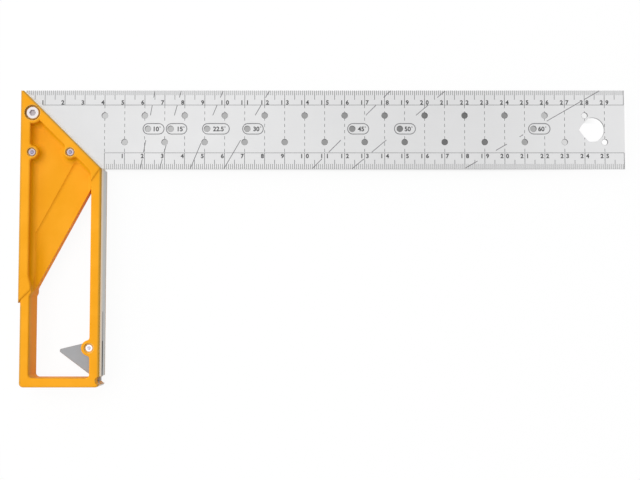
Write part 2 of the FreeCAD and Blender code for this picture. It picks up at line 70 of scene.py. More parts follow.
# Places on the blade are x, to the right from the outer face of the stock, and d, down from the
# blade's outer edge.
ZERO_X = STOCK_LOW[0]
OUTER_EDGE_Y = BLADE_HIGH[1]
BLADE_FACE_Z = BLADE_HIGH[2]
BLADE_WIDTH = BLADE_HIGH[1] - BLADE_LOW[1]
INNER_ZERO = STOCK_HIGH[0] - STOCK_LOW[0]

# The two scales. Each ends in a cross line just short of the next centimetre. A number's foot is
# above the outer base line, and its top is below the inner one. Centimetre lines to the left
# of the fence cross the outer scale alone.
LAST_OUTER_NUMBER = 29
LAST_INNER_NUMBER = 25
END_LINE_GAP = 0.4 * MM
OUTER_BASE_START = 1.5 * MM
OUTER_NUMBER_RISE = 0.2 * MM
INNER_NUMBER_DROP = 0.35 * MM
INNER_TICK_EXTRA = 0.2 * MM
UNDER_FENCE = 0.5 * MM

# Middles of the figures of a centimetre number, from its line. The capital height is that of the
# lettering at size 1, and a weight is how much its strokes are thickened there.
ONE_FIGURE = (-1.1 * MM,)
TWO_FIGURES = (-1.45 * MM, 1.35 * MM)
CAPITAL_HEIGHT = 0.729
NUMBER_WEIGHT = 0.035
LABEL_WEIGHT = 0.03
DEGREE_WEIGHT = 0.0
DEGREE_SHARE = 0.8
DEGREE_GAP = 0.2 * MM

# Each angle: its text, where its hole is, the left and right ends of its ring, and where its
# number starts.
ANGLE_HOLE_DEPTH = 19.3 * MM
ANGLE_LABELS = {
    10.0: ("10", 61.6 * MM, 59.2 * MM, 69.7 * MM, 64.5 * MM),
    15.0: ("15", 73.0 * MM, 70.8 * MM, 81.1 * MM, 76.5 * MM),
    22.5: ("22.5", 91.2 * MM, 88.9 * MM, 102.3 * MM, 94.2 * MM),
    30.0: ("30", 111.3 * MM, 109.0 * MM, 119.3 * MM, 114.3 * MM),
    45.0: ("45", 163.8 * MM, 161.5 * MM, 172.0 * MM, 166.6 * MM),
    50.0: ("50", 187.6 * MM, 184.9 * MM, 195.4 * MM, 190.0 * MM),
    60.0: ("60", 254.4 * MM, 252.0 * MM, 262.7 * MM, 256.8 * MM),
}
RING_STEPS = 12

# Depths in millimetres between which the angle lines are cut. They stop short of the numbers.
ANGLE_RUNS = ((0.2, 3.5), (7.4, 12.5), (25.0, 31.1), (34.5, 39.3))
OPEN_ANGLE_RUNS = ((0.2, 3.5), (7.4, 12.5), (25.0, 39.3))
SHALLOW_ANGLE_RUNS = ((0.2, 4.5), (5.6, 15.4), (22.3, 23.3), (27.0, 30.2), (35.5, 39.0))
RUNS_BY_ANGLE = {22.5: OPEN_ANGLE_RUNS, 30.0: OPEN_ANGLE_RUNS, 60.0: SHALLOW_ANGLE_RUNS}

# A line is etched only on bare steel, which is felt for from above in small steps.
FEELER_HEIGHT = 0.05
FEELER_STEP = 0.1 * MM
FEELER_SHARE = 0.4
HOLE_DEPTH = 0.01 * MM
EDGE_MARGIN = 0.06 * MM
SHORTEST_LINE = 0.25 * MM

# Recesses that the heads lie in: their radii, and how far past them the painted light reaches.
CLAMP_RECESS = 3.9 * MM
PIVOT_RECESS = 2.5 * MM
RIVET_RECESS = 2.35 * MM
LIT_RIM_WIDTH = 0.2 * MM

# Where the finishes of the stock change. Each mask is 0 at its first number and 1 at its second.
# They are in millimetres: across from the outer face, down from the blade's outer edge, up from
# the middle of the thickness, or away from that middle to either side. Past the mitre is across
# less down. A facing is a part of the surface's direction, from 0 to 1.
FENCE = INNER_ZERO / MM
FENCE_ACROSS = (FENCE - 0.09, FENCE - 0.03)
FENCE_AWAY = (6.8, 6.3)
OUTER_FACE_ACROSS = (0.09, 0.03)
MITRE_PAST = (-0.12, -0.04)
TOE_ACROSS = (37.2, 37.6)
TOE_DOWN = (145.6, 146.0)
TOE_FACING = (0.35, 0.6)
SLOT_ACROSS = (FENCE - 3.5, FENCE - 3.0)
SLOT_AWAY = (1.24, 1.22)
SLOT_TOP = (110.0, 111.0)
SLOT_FOOT = (146.0, 145.6)
# Painted reflection: the milled fence side is lighter and warmer towards the top.
LIT_TOP_UP = (-1.0, 6.5)
LIT_TOP_ACROSS = (20.0, 25.0)
# Painted shade on the upright walls of the pocket and windows.
WALL_INNER = (3.45, 5.2)
WALL_OUTER = (8.1, 7.2)
# Painted light below the middle of the thickness.
LOW_WALL_UP = (2.6, 0.5)
POCKET_AWAY = (3.6, 3.45)
# Painted shade in the lower corner of the pocket.
SHADED_CORNER_ACROSS = (15.0, 9.0)
SHADED_CORNER_DOWN = (62.0, 86.0)
LEVEL_FACING = (0.7, 0.9)
# Painted shade on the outer edges; the left edge steps in where the frame begins.
FRAME_DOWN = (106.5, 108.0)
FRAME_INSET = 0.9
LEFT_EDGE_ACROSS = (1.4, 0.2)
FENCE_EDGE_ACROSS = (FENCE - 1.4, FENCE - 0.4)
MITRE_EDGE_PAST = (-1.9, -0.4)
SIDE_EDGE_SHARE = 0.8

# Grain of the enamel and of the milled metal.
ENAMEL_CLOUD = 14.0 * MM
ENAMEL_CLOUD_RANGE = (0.3, 0.75)
PEEL_MATT = 0.08
PAINT_SPECULAR = 0.06
CAST_EDGE = 0.4 * MM
CUTTER_STRETCH = (8.0, 60.0, 1.0)
CUTTER_DEPTH = 0.004 * MM
CUTTER_MATT = 0.12
CUTTER_SHADE = 0.82
MILLED_METALLIC = 0.9

# Grain of the blade's steel. Steel that looks up or down is flat, and the walls of the holes and
# the edges are sheared steel darkened as painted shade.
STEEL_CLOUD = 30.0 * MM
HANDLED_PATCH = 9.0 * MM
STEEL_SHADE = 0.90
GRAIN_TONE = 0.35
CLOUD_TONE = 0.65
STEEL_POLISH = 0.08
GRAIN_MATT = 0.10
HANDLED_MATT = 0.08
FLAT_FACING = (0.72, 0.98)
BLADE_EDGE = 0.1 * MM

# Oxide in the etched marks.
OXIDE_GRAIN = 0.8 * MM
OXIDE_WORN = 1.8
OXIDE_ROUGHNESS = 0.5
OXIDE_MATT = 0.15

# Plating of the heads, which is rougher below their top and darker there as painted shade,
# and the sheet metal of ledge and washers.
SUNK_FULL = 0.40 * MM
SUNK_START = 0.06 * MM
SUNK_MATT = 0.1
SCRATCH_DEPTH = 0.001 * MM
PLATING_SCRATCH = 0.2 * MM
PLATING_STRETCH = (6.0, 1.0, 1.0)
PLATING_MATT = 0.08
HEAD_EDGE = 0.08 * MM
SHEET_SCRATCH = 0.15 * MM
SHEET_STRETCH = (12.0, 1.0, 1.0)
SHEET_SHADE = 0.8
SHEET_POLISH = 0.05
SHEET_CLOUD_MATT = 0.08
SHEET_SCRATCH_MATT = 0.05
LEDGE_CLOUD = 5.0 * MM
LEDGE_EDGE = 0.15 * MM
WASHER_CLOUD = 1.5 * MM
WASHER_EDGE = 0.03 * MM

# The floor has a painted shadow below the blade, darkest at one place along it. The fades go
# from the blade's painted shadow to the open floor, measured from the blade's middle line, from
# the outer face of the stock and past the blade's end. Painted light comes through the hanging
# hole. The rise is by the metre to the left, and by the square of it to the right.
FLOOR_SIDES = 96
FADE_FROM_MIDDLE = (0.40 * BLADE_WIDTH, 0.52 * BLADE_WIDTH)
FADE_AT_STOCK = (12.0 * MM, 4.0 * MM)
FADE_PAST_END = (2.0 * MM, 6.0 * MM)
HANGING_HOLE_ALONG = (276.0 * MM, 279.0 * MM)
HANGING_HOLE_ASIDE = (5.6 * MM, 4.6 * MM)
DARKEST_X = 215.0 * MM
DARKEST_SHARE = 0.125
RISE_TO_LEFT = 2.55
RISE_TO_RIGHT = 165.0

# The light from all round is brighter from the left and the back than from the right and front.
SKY_GAIN = 2.0
SKY_FROM_LEFT = 0.87
SKY_FROM_BACK = 0.50
SKY_RANGE = (-0.75, 0.6)

# What metal reflects: how bright it is, how that falls to the right, the dark strip overhead, the
# dark left and the dimmer front. The ranges are parts of the mirrored direction, from -1 to 1.
MIRRORED_LEVEL = 1.264
MIRRORED_FALL = 0.289
STRIP_MIDDLE = 0.10
STRIP_REACH = (0.12, 0.0)
LEFT_DARK = 0.9
LEFT_RANGE = (-0.15, -0.5)
FRONT_SHARE = 0.55
FRONT_RANGE = (-0.8, -0.3)

# The lamp hangs above the square, to the left. The camera stands nearly straight above it.
KEY_PLACE = (-0.33, 0.12, 0.95)
CAMERA_PLACE = (-0.002324, -0.034739, 0.566698)
CAMERA_TILT = 0.0599168
CAMERA_LENS = 63.17
CAMERA_NEAR = 0.01
SENSOR_WIDTH = 36.0


def rgba(colour):
    """A colour with full opacity."""
    return (colour[0], colour[1], colour[2], 1.0)


def toned(colour, factor):
    """A colour made darker or lighter."""
    return rgba([factor * part for part in colour])


def colour_property(name, description, default):
    """A colour that the user may change."""
    return FloatVectorProperty(
        name=name,
        description=description,
        default=default,
        subtype="COLOR",
        size=3,
        min=0.0,
        max=1.0,
    )


def length_property(name, description, default):
    """A length that the user may change, in metres."""
    return FloatProperty(
        name=name,
        description=description,
        default=default,
        unit="LENGTH",
        subtype="DISTANCE",
        min=0.0,
    )


def share_property(name, description, default):
    """A number from 0 to 1 that the user may change."""
    return FloatProperty(
        name=name, description=description, default=default, subtype="FACTOR", min=0.0, max=1.0
    )


class StockSettings(bpy.types.PropertyGroup):
    """Paint and bare metal of the cast stock."""

    paint: colour_property("Paint", "Enamel on the casting", (0.885, 0.380, 0.020))
    paint_shade: colour_property(
        "Uneven paint", "Enamel where it lies a little darker", (0.83, 0.345, 0.012)
    )
    # Painted shade: the colour that the upright walls take in shade.
    paint_wall: colour_property(
        "Paint on walls", "Thinner enamel on the upright walls", (0.80, 0.40, 0.004)
    )
    # Painted light: the enamel below the middle of the thickness is lighter, as if lit from the
    # floor.
    paint_low: colour_property(
        "Low paint", "Enamel on the walls below the middle", (0.90, 0.37, 0.0)
    )
    # Painted shade: darker enamel in the lower corner of the pocket.
    paint_pooled: colour_property(
        "Pooled paint", "Enamel gathered low in the pocket", (0.745, 0.305, 0.004)
    )
    # Painted shade: dark olive on the rounded outer edges.
    paint_edge: colour_property(
        "Paint on edges", "Thin enamel on the outer edges", (0.52, 0.275, 0.035)
    )
    # Painted light: a light colour in the recesses round the heads, and a painted highlight on
    # their rims.
    paint_recess: colour_property(
        "Paint in recesses", "Worn enamel round the screw and rivet heads", (1.0, 0.62, 0.15)
    )
    paint_roughness: share_property("Paint roughness", "How matt the enamel is", 0.48)
    peel_size: length_property("Peel size", "Width of the dimples in the enamel", 0.9 * MM)
    peel_depth: length_property("Peel depth", "Depth of the dimples in the enamel", 0.012 * MM)
    milled: colour_property(
        "Milled metal", "Bare metal of the fence and the outer face", (0.50, 0.50, 0.485)
    )
    # Painted reflection: lighter, warmer milled metal towards the top of the fence side.
    milled_edge: colour_property(
        "Milled edge", "Bare metal beside the enamel", (0.72, 0.56, 0.38)
    )
    # Bare milled metal of the mitre face, made light as a painted highlight.
    milled_mitre: colour_property(
        "Milled mitre", "Bare metal of the mitre face", (0.95, 0.88, 0.78)
    )
    # Painted shade: dark bare metal inside the ledge's slot.
    slot_metal: colour_property(
        "Slot metal", "Bare metal inside the slot of the ledge", (0.22, 0.20, 0.20)
    )
    milled_roughness: share_property("Milled roughness", "How matt the milled faces are", 0.38)
    cutter_pitch: length_property(
        "Cutter marks", "Distance between the lines left by milling", 0.25 * MM
    )


class BladeSettings(bpy.types.PropertyGroup):
    """Steel of the blade."""

    steel: colour_property("Steel", "Satin stainless steel", (0.82, 0.82, 0.825))
    # Sheared steel of the hole walls and edges, darkened as painted shade.
    sheared: colour_property(
        "Sheared edge", "Steel on the walls of the holes and the edges", (0.12, 0.12, 0.125)
    )
    roughness: share_property("Roughness", "How matt the satin finish is", 0.34)
    grain_length: length_property("Grain length", "Length of the brush lines", 22.0 * MM)
    grain_width: length_property("Grain width", "Width of the brush lines", 0.18 * MM)
    grain_depth: length_property("Grain depth", "Depth of the brush lines", 0.0012 * MM)


class ScaleSettings(bpy.types.PropertyGroup):
    """Etched scales and angle marks of the blade."""

    ink: colour_property(
        "Etching", "Dark bottom of the scale lines and numbers", (0.030, 0.030, 0.032)
    )
    pale_ink: colour_property(
        "Light etching", "Bottom of the shallow angle lines and rings", (0.12, 0.12, 0.125)
    )
    relief: length_property("Relief", "Thickness of the dark fill on the face", 0.01 * MM)
    tick_width: length_property("Tick width", "Width of a millimetre tick", 0.19 * MM)
    line_width: length_property("Line width", "Width of a centimetre line or half tick", 0.22 * MM)
    base_width: length_property(
        "Base line width", "Width of the line that a scale stands on", 0.19 * MM
    )
    angle_width: length_property("Angle line width", "Width of an angle line", 0.36 * MM)
    tick_length: length_property("Millimetre tick", "Length of a millimetre tick", 2.3 * MM)
    half_length: length_property("Half tick", "Length of a tick at each half centimetre", 4.6 * MM)
    outer_base: length_property(
        "Outer base line", "Depth of the outer scale's base line", 7.3 * MM
    )
    inner_base: length_property(
        "Inner base line", "Depth of the inner scale's base line", 31.4 * MM
    )
    dash: length_property("Dash", "Length of a dash of the centimetre lines", 1.6 * MM)
    dash_pitch: length_property("Dash pitch", "Distance from dash to dash", 3.15 * MM)
    number_height: length_property(
        "Number height", "Height of the centimetre numbers", 2.35 * MM
    )
    label_height: length_property("Angle height", "Height of the angle numbers", 2.5 * MM)
    ring_height: length_property(
        "Ring height", "Height of the ring round an angle number", 5.3 * MM
    )
    ring_width: length_property("Ring width", "Width of that ring's line", 0.42 * MM)
    clear_gap: length_property("Clear gap", "Gap between a line and a hole or ring", 0.45 * MM)


class FittingSettings(bpy.types.PropertyGroup):
    """Metal of the screw, rivets, ledge and washers."""

    clamp: colour_property("Clamp", "Plating of the clamp screw and its nut", (0.84, 0.79, 0.80))
    # Painted shade: the socket colour darkens the inside of the clamp's head and nut.
    clamp_sunk: colour_property("Clamp socket", "Plating inside the socket", (0.55, 0.49, 0.52))
    rivet: colour_property("Rivets", "Plating of the blade rivets", (0.59, 0.52, 0.59))
    # Painted shade: the dimple colour darkens the inside of the rivet heads.
    rivet_sunk: colour_property(
        "Rivet dimples", "Plating inside the dimples of those rivets", (0.47, 0.43, 0.56)
    )
    pivot: colour_property("Pivot", "Plating of the pivot rivet", (0.99, 0.97, 1.0))
    # Painted shade: the dimple colour darkens the inside of the pivot's head.
    pivot_sunk: colour_property(
        "Pivot dimples", "Plating inside the dimples of that rivet", (0.76, 0.74, 0.84)
    )
    plating_roughness: share_property("Plating roughness", "How matt the plating is", 0.22)
    ledge: colour_property("Ledge", "Zinc plated sheet of the ledge", (0.50, 0.505, 0.52))
    ledge_roughness: share_property("Ledge roughness", "How matt the ledge is", 0.42)
    washer: colour_property("Washer", "Spring steel of the washers", (0.30, 0.29, 0.28))
    washer_roughness: share_property("Washer roughness", "How matt the washers are", 0.3)


class StageSettings(bpy.types.PropertyGroup):
    """Floor and light."""

    floor: colour_property("Floor", "Pale floor", (0.93, 0.93, 0.93))
    # Painted shadow: the floor's colour under the blade.
    floor_below: colour_property(
        "Floor below the blade", "Floor where it shows through the holes", (0.12, 0.12, 0.12)
    )
    floor_radius: length_property("Floor radius", "Radius of the round floor", 3.0)
    floor_glow: share_property(
        "Floor glow", "Share of plain white in the open floor, as the camera sees it", 0.94
    )
    floor_bounce: colour_property(
        "Floor bounce", "Floor as the light that it throws back sees it", (0.93, 0.93, 0.93)
    )
    sky: share_property("Sky", "Light from all round", 0.535)
    sky_low: share_property("Dim side", "Share of that light from the dim side", 0.28)
    overhead_dark: share_property(
        "Dark overhead", "How much a dark strip overhead darkens what metal reflects", 1.0
    )
    key_power: FloatProperty(
        name="Key light", description="Soft light overhead", default=4.9, unit="POWER", min=0.0
    )
    key_size: length_property("Key size", "Width of the key light", 0.9)


class Wire:
    """A value that a node gives. Sums, products and abs() of wires add Math nodes."""

    def __init__(self, finish, socket):
        self.finish = finish
        self.socket = socket

    def __add__(self, other):
        return self.finish.maths("ADD", self, other)

    __radd__ = __add__

    def __sub__(self, other):
        return self.finish.maths("SUBTRACT", self, other)

    def __rsub__(self, other):
        return self.finish.maths("SUBTRACT", other, self)

    def __mul__(self, other):
        return self.finish.maths("MULTIPLY", self, other)

    __rmul__ = __mul__

    def __abs__(self):
        return self.finish.maths("ABSOLUTE", self)


class Finish:
    """The nodes of one material or of the world."""

    def __init__(self, tree):
        self.tree = tree
        self.tree.nodes.clear()

    def node(self, kind, settings=None, inputs=None, output=0):
        """Adds a node with its settings, then its socket values or links, and gives one output."""
        made = self.tree.nodes.new("ShaderNode" + kind)
        for name, value in (settings or {}).items():
            setattr(made, name, value)
        for name, value in (inputs or {}).items():
            if isinstance(value, Wire):
                self.tree.links.new(value.socket, made.inputs[name])
            else:
                made.inputs[name].default_value = value
        return Wire(self, made.outputs[output]) if len(made.outputs) else made

    def maths(self, operation, first, second=0.0):
        """One Math node."""
        return self.node("Math", {"operation": operation}, {0: first, 1: second})

    def largest(self, first, *others):
        """The largest of several masks."""
        for other in others:
            first = self.maths("MAXIMUM", first, other)
        return first

    def vector_maths(self, operation, first, second=(0.0, 0.0, 0.0), output="Vector"):
        """One Vector Math node."""
        return self.node("VectorMath", {"operation": operation}, {0: first, 1: second}, output)

    def mix(self, share, first, second):
        """Colour from first to second by share."""
        return self.node("Mix", {"data_type": "RGBA"}, {0: share, 6: first, 7: second}, 2)

    def mix_normals(self, share, first, second):
        """Direction from first to second by share."""
        return self.node("Mix", {"data_type": "VECTOR"}, {0: share, 4: first, 5: second}, 1)

    def coats(self, colour, *coats):
        """A colour under coats of (share, colour), which are laid on in turn."""
        for share, coat in coats:
            colour = self.mix(share, colour, rgba(coat))
        return colour

    def place(self):
        """The place on the object, in metres."""
        return self.node("TexCoord", output="Object")

    def part(self, vector, axis):
        """The X, Y or Z part of a vector."""
        return self.node("SeparateXYZ", inputs={0: vector}, output=axis)

    def ramp(self, value, low, high):
        """0 at low, 1 at high, and smooth in between, whichever of the two is larger."""
        return self.node(
            "MapRange",
            {"interpolation_type": "SMOOTHSTEP"},
            {"Value": value, "From Min": low, "From Max": high},
        )

    def noise(self, place, size, detail=2.0, stretch=(1.0, 1.0, 1.0)):
        """Soft noise with patches of the given size in metres, stretched by the given factors."""
        scaled = self.vector_maths("MULTIPLY", place, [1.0 / (size * way) for way in stretch])
        inputs = {"Vector": scaled, "Scale": 1.0, "Detail": detail}
        return self.node("TexNoise", inputs=inputs, output="Fac")

    def bump(self, height, depth, normal):
        """A normal from a height of 0 to 1 that stands for the given depth in metres."""
        inputs = {"Height": height, "Distance": depth, "Strength": 1.0, "Normal": normal}
        return self.node("Bump", inputs=inputs)

    def soft_edge(self, radius):
        """A normal that rounds sharp edges a little."""
        return self.node("Bevel", {"samples": 6}, {"Radius": radius})

    def surface(self, shader):
        """Joins a shader to the output."""
        self.node("OutputMaterial", inputs={"Surface": shader})

    def principled(self, inputs):
        """Joins a Principled shader with these values and links to the output."""
        self.surface(self.node("BsdfPrincipled", inputs=inputs))


def new_finish(name):
    """An empty material and its nodes."""
    material = bpy.data.materials.new(name)
    material.use_nodes = True
    return material, Finish(material.node_tree)


def finish_node(node, material):
    """Gives a CAD node its material."""
    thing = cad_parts[node]
    thing.data.materials.clear()
    thing.data.materials.append(material)


class StockPlaces:
    """Where a point of the stock is, in millimetres, and which way it faces."""

    def __init__(self, finish):
        self.place = finish.place()
        self.across = (finish.part(self.place, "X") - ZERO_X) * (1.0 / MM)
        self.down = (OUTER_EDGE_Y - finish.part(self.place, "Y")) * (1.0 / MM)
        self.up = (finish.part(self.place, "Z") - STOCK_MIDDLE_Z) * (1.0 / MM)
        self.away = abs(self.up)
        self.past_mitre = self.across - self.down
        self.in_pocket = finish.ramp(self.away, *POCKET_AWAY)
        self.facing = finish.node("NewGeometry", output="Normal")


def head_recesses():
    """Centre x, centre y and radius of each recess that a screw or rivet head lies in."""
    recesses = []
    for node, radius in (("clamp_screw", CLAMP_RECESS), ("ledge_pivot_rivet", PIVOT_RECESS)):
        low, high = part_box(node)
        recesses.append(((low[0] + high[0]) / 2, (low[1] + high[1]) / 2, radius))
    low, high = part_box("blade_rivets")
    half = (high[1] - low[1]) / 2
    for centre_x in (low[0] + half, high[0] - half):
        recesses.append((centre_x, low[1] + half, RIVET_RECESS))
    return recesses


def enamel(finish, at, settings):
    """Colour of the enamel, with painted shade on walls, edges and the pocket's corner, and painted
    light below the middle and round the heads.
    """
    cloud = finish.ramp(finish.noise(at.place, ENAMEL_CLOUD, detail=3.0), *ENAMEL_CLOUD_RANGE)
    # Painted shade on the upright walls between the floor of the pocket and the rims.
    shaded_wall = finish.ramp(at.away, *WALL_INNER) * finish.ramp(at.away, *WALL_OUTER)
    # Painted light below the middle of the thickness.
    low = finish.ramp(at.up, *LOW_WALL_UP)
    level = finish.ramp(abs(finish.part(at.facing, "Z")), *LEVEL_FACING)
    # Painted shade in the lower corner of the pocket, on its level faces.
    shaded_corner = finish.ramp(at.across, *SHADED_CORNER_ACROSS) * finish.ramp(at.down, *SHADED_CORNER_DOWN)
    inset = FRAME_INSET * finish.ramp(at.down, *FRAME_DOWN)
    # Painted shade on the rounded edges at the left side, the fence and the mitre.
    left_edge = finish.ramp(at.across - inset, *LEFT_EDGE_ACROSS)
    fence_edge = finish.ramp(at.across, *FENCE_EDGE_ACROSS)
    mitre_edge = finish.ramp(at.past_mitre, *MITRE_EDGE_PAST)
    edge = finish.largest(SIDE_EDGE_SHARE * finish.largest(left_edge, fence_edge), mitre_edge)
    # Painted light in the recesses round the heads, and a painted highlight on a thin rim past
    # them.
    lit_rims = []
    for centre_x, centre_y, radius in head_recesses():
        offset = finish.vector_maths("SUBTRACT", at.place, (centre_x, centre_y, 0.0))
        level_offset = finish.vector_maths("MULTIPLY", offset, (1.0, 1.0, 0.0))
        reach = finish.vector_maths("LENGTH", level_offset, output="Value")
        lit_rims.append((finish.ramp(reach, radius + LIT_RIM_WIDTH, radius), settings.paint_recess))
    # Over the enamel's uneven tone: painted shade on walls, pocket corner and edges, painted light
    # below the middle and round the heads.
    return finish.coats(
        finish.mix(cloud, rgba(settings.paint_shade), rgba(settings.paint)),
        (shaded_wall, settings.paint_wall),
        (low, settings.paint_low),
        (shaded_corner * at.in_pocket * level, settings.paint_pooled),
        (edge, settings.paint_edge),
        *lit_rims,
    )


def bare_metal(finish, at, cutter, settings):
    """Where bare metal shows, and its colour: fence, toe, outer face, mitre face and slot. The
    fence side has a painted reflection, the mitre face a painted highlight, and the slot painted
    shade.
    """
    toe = finish.ramp(at.across, *TOE_ACROSS) * finish.ramp(at.down, *TOE_DOWN)
    toe = toe * finish.ramp(finish.part(at.facing, "X"), *TOE_FACING)
    fence = finish.largest(finish.ramp(at.across, *FENCE_ACROSS), toe)
    fence = fence * finish.ramp(at.away, *FENCE_AWAY)
    outer = finish.ramp(at.across, *OUTER_FACE_ACROSS)
    # The mitre face is bare milled metal, and its light colour is a painted highlight.
    mitre = finish.ramp(at.past_mitre, *MITRE_PAST)
    # Painted shade: the inside of the ledge's slot is dark bare metal.
    slot = finish.ramp(at.across, *SLOT_ACROSS) * finish.ramp(at.away, *SLOT_AWAY)
    slot = slot * finish.ramp(at.down, *SLOT_TOP) * finish.ramp(at.down, *SLOT_FOOT)
    # Painted reflection: the milled metal of the fence side is lighter and warmer towards the top.
    lit_top = finish.ramp(at.up, *LIT_TOP_UP) * finish.ramp(at.across, *LIT_TOP_ACROSS)
    colour = finish.coats(
        finish.mix(cutter, toned(settings.milled, CUTTER_SHADE), rgba(settings.milled)),
        (lit_top, settings.milled_edge),
        (mitre, settings.milled_mitre),
        (slot, settings.slot_metal),
    )
    return finish.largest(fence, outer, mitre, slot), colour


def stock_finish(settings):
    """Orange enamel on the casting, and bare milled metal where it was machined, with painted light
    and shade.
    """
    material, finish = new_finish("enamel_and_milled_metal")
    at = StockPlaces(finish)
    peel = finish.noise(at.place, settings.peel_size)
    cutter = finish.noise(at.place, settings.cutter_pitch, stretch=CUTTER_STRETCH)
    milled, metal = bare_metal(finish, at, cutter, settings)
    painted = 1.0 - milled
    paint_roughness = settings.paint_roughness + PEEL_MATT * peel
    metal_roughness = settings.milled_roughness + CUTTER_MATT * cutter
    softened = finish.mix_normals(at.in_pocket, finish.soft_edge(CAST_EDGE), at.facing)
    dimpled = finish.bump(peel * painted, settings.peel_depth, softened)
    finish.principled(
        {
            "Base Color": finish.mix(milled, enamel(finish, at, settings), metal),
            "Metallic": milled * MILLED_METALLIC,
            "Roughness": paint_roughness * painted + metal_roughness * milled,
            "Normal": finish.bump(cutter * milled, CUTTER_DEPTH, dimpled),
            "Specular IOR Level": PAINT_SPECULAR,
        }
    )
    return material


def steel_finish(settings):
    """Satin stainless steel, brushed along the blade."""
    material, finish = new_finish("satin_stainless_steel")
    place = finish.place()
    ratio = settings.grain_length / settings.grain_width
    grain = finish.noise(place, settings.grain_width, detail=3.0, stretch=(ratio, 1.0, 1.0))
    cloud = finish.noise(place, STEEL_CLOUD, detail=4.0)
    handled = finish.noise(place, HANDLED_PATCH, detail=5.0)
    shade = GRAIN_TONE * grain + CLOUD_TONE * cloud
    satin = finish.mix(shade, toned(settings.steel, STEEL_SHADE), rgba(settings.steel))
    facing = finish.node("NewGeometry", output="True Normal")
    flat = finish.ramp(abs(finish.part(facing, "Z")), *FLAT_FACING)
    polished = settings.roughness - STEEL_POLISH
    finish.principled(
        {
            # The walls of the holes and the edges get the sheared steel, darkened as painted shade.
            "Base Color": finish.mix(flat, rgba(settings.sheared), satin),
            "Metallic": 1.0,
            "Roughness": polished + GRAIN_MATT * grain + HANDLED_MATT * handled,
            "Normal": finish.bump(grain, settings.grain_depth, finish.soft_edge(BLADE_EDGE)),
        }
    )
    return material


def ink_finish(name, ink):
    """Oxide left in the etched marks, a little uneven."""
    material, finish = new_finish(name)
    worn = finish.noise(finish.place(), OXIDE_GRAIN)
    finish.principled(
        {
            "Base Color": finish.mix(worn, rgba(ink), toned(ink, OXIDE_WORN)),
            "Roughness": OXIDE_ROUGHNESS + OXIDE_MATT * worn,
        }
    )
    return material


def plating_finish(name, colour, shaded_colour, roughness, top):
    """Bright plating, with painted shade in the socket or dimple below the top of the head."""
    material, finish = new_finish(name)
    place = finish.place()
    scratch = finish.noise(place, PLATING_SCRATCH, stretch=PLATING_STRETCH)
    # Painted shade below the top of the head, which is also rougher there.
    sunk = finish.ramp(finish.part(place, "Z"), top - SUNK_START, top - SUNK_FULL)
    finish.principled(
        {
            "Base Color": finish.mix(sunk, rgba(colour), rgba(shaded_colour)),
            "Metallic": 1.0,
            "Roughness": roughness + PLATING_MATT * scratch + SUNK_MATT * sunk,
            "Normal": finish.bump(scratch, SCRATCH_DEPTH, finish.soft_edge(HEAD_EDGE)),
        }
    )
    return material


def sheet_finish(name, colour, roughness, patch, edge):
    """Sheet metal with soft patches of tone and small scratches."""
    material, finish = new_finish(name)
    place = finish.place()
    cloud = finish.noise(place, patch, detail=3.0)
    scratch = finish.noise(place, SHEET_SCRATCH, stretch=SHEET_STRETCH)
    polished = roughness - SHEET_POLISH
    finish.principled(
        {
            "Base Color": finish.mix(cloud, toned(colour, SHEET_SHADE), rgba(colour)),
            "Metallic": 1.0,
            "Roughness": polished + SHEET_CLOUD_MATT * cloud + SHEET_SCRATCH_MATT * scratch,
            "Normal": finish.bump(scratch, SCRATCH_DEPTH, finish.soft_edge(edge)),
        }
    )
    return material


